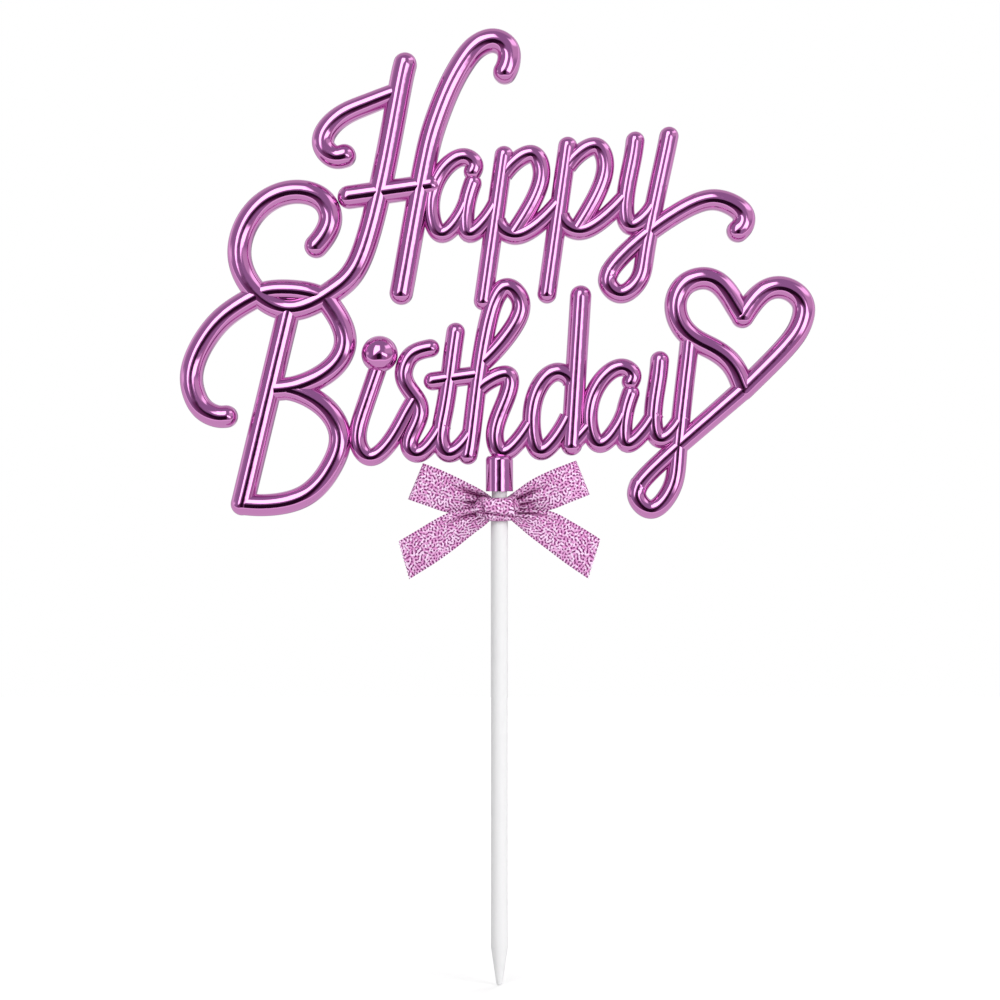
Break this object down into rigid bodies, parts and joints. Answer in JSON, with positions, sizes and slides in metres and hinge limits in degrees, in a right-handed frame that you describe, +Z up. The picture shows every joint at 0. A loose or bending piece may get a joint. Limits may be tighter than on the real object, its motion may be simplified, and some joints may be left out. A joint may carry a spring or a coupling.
{
  "type": "cake topper",
  "caption": "Flat script greeting with a heart, in mirror-plated rods, pushed onto a pointed round stick with a ribbon bow tied under it; the stick stands in a cake.",
  "frame": {"origin": "on the stick's axis, at the cake's top when the stick stands 60 mm deep", "axes": "+Z up along the stick, +X to the right as the words are read, -Y towards the reader"},
  "size_m": [0.1491, 0.008, 0.2241],
  "materials": {
    "plated_plastic": "mirror-bright vacuum plating in pink and purple",
    "stick_plastic": "satin white",
    "ribbon": "glittering metallic weave"
  },
  "bodies": {
    "stick": {"stick": "stick_plastic"},
    "sign": {"capital_h": "plated_plastic", "upper_a": "plated_plastic", "first_p": "plated_plastic", "second_p": "plated_plastic", "upper_y": "plated_plastic", "capital_b": "plated_plastic", "b_flourish": "plated_plastic", "letter_i": "plated_plastic", "i_dot": "plated_plastic", "letter_r": "plated_plastic", "letter_t": "plated_plastic", "letter_h": "plated_plastic", "letter_d": "plated_plastic", "lower_a": "plated_plastic", "lower_y": "plated_plastic", "heart": "plated_plastic", "stick_socket": "plated_plastic"},
    "bow": {"bow_knot": "ribbon", "bow_loop_left": "ribbon", "bow_loop_right": "ribbon", "bow_tail_left": "ribbon", "bow_tail_right": "ribbon"}
  },
  "joints": [
    {"name": "sign_lift", "type": "slide", "parent": "stick", "child": "sign", "axis": [0, 0, 1], "range_m": [0, 0.012]},
    {"name": "bow_slide", "type": "slide", "parent": "stick", "child": "bow", "axis": [0, 0, -1], "range_m": [0, 0.08]}
  ]
}
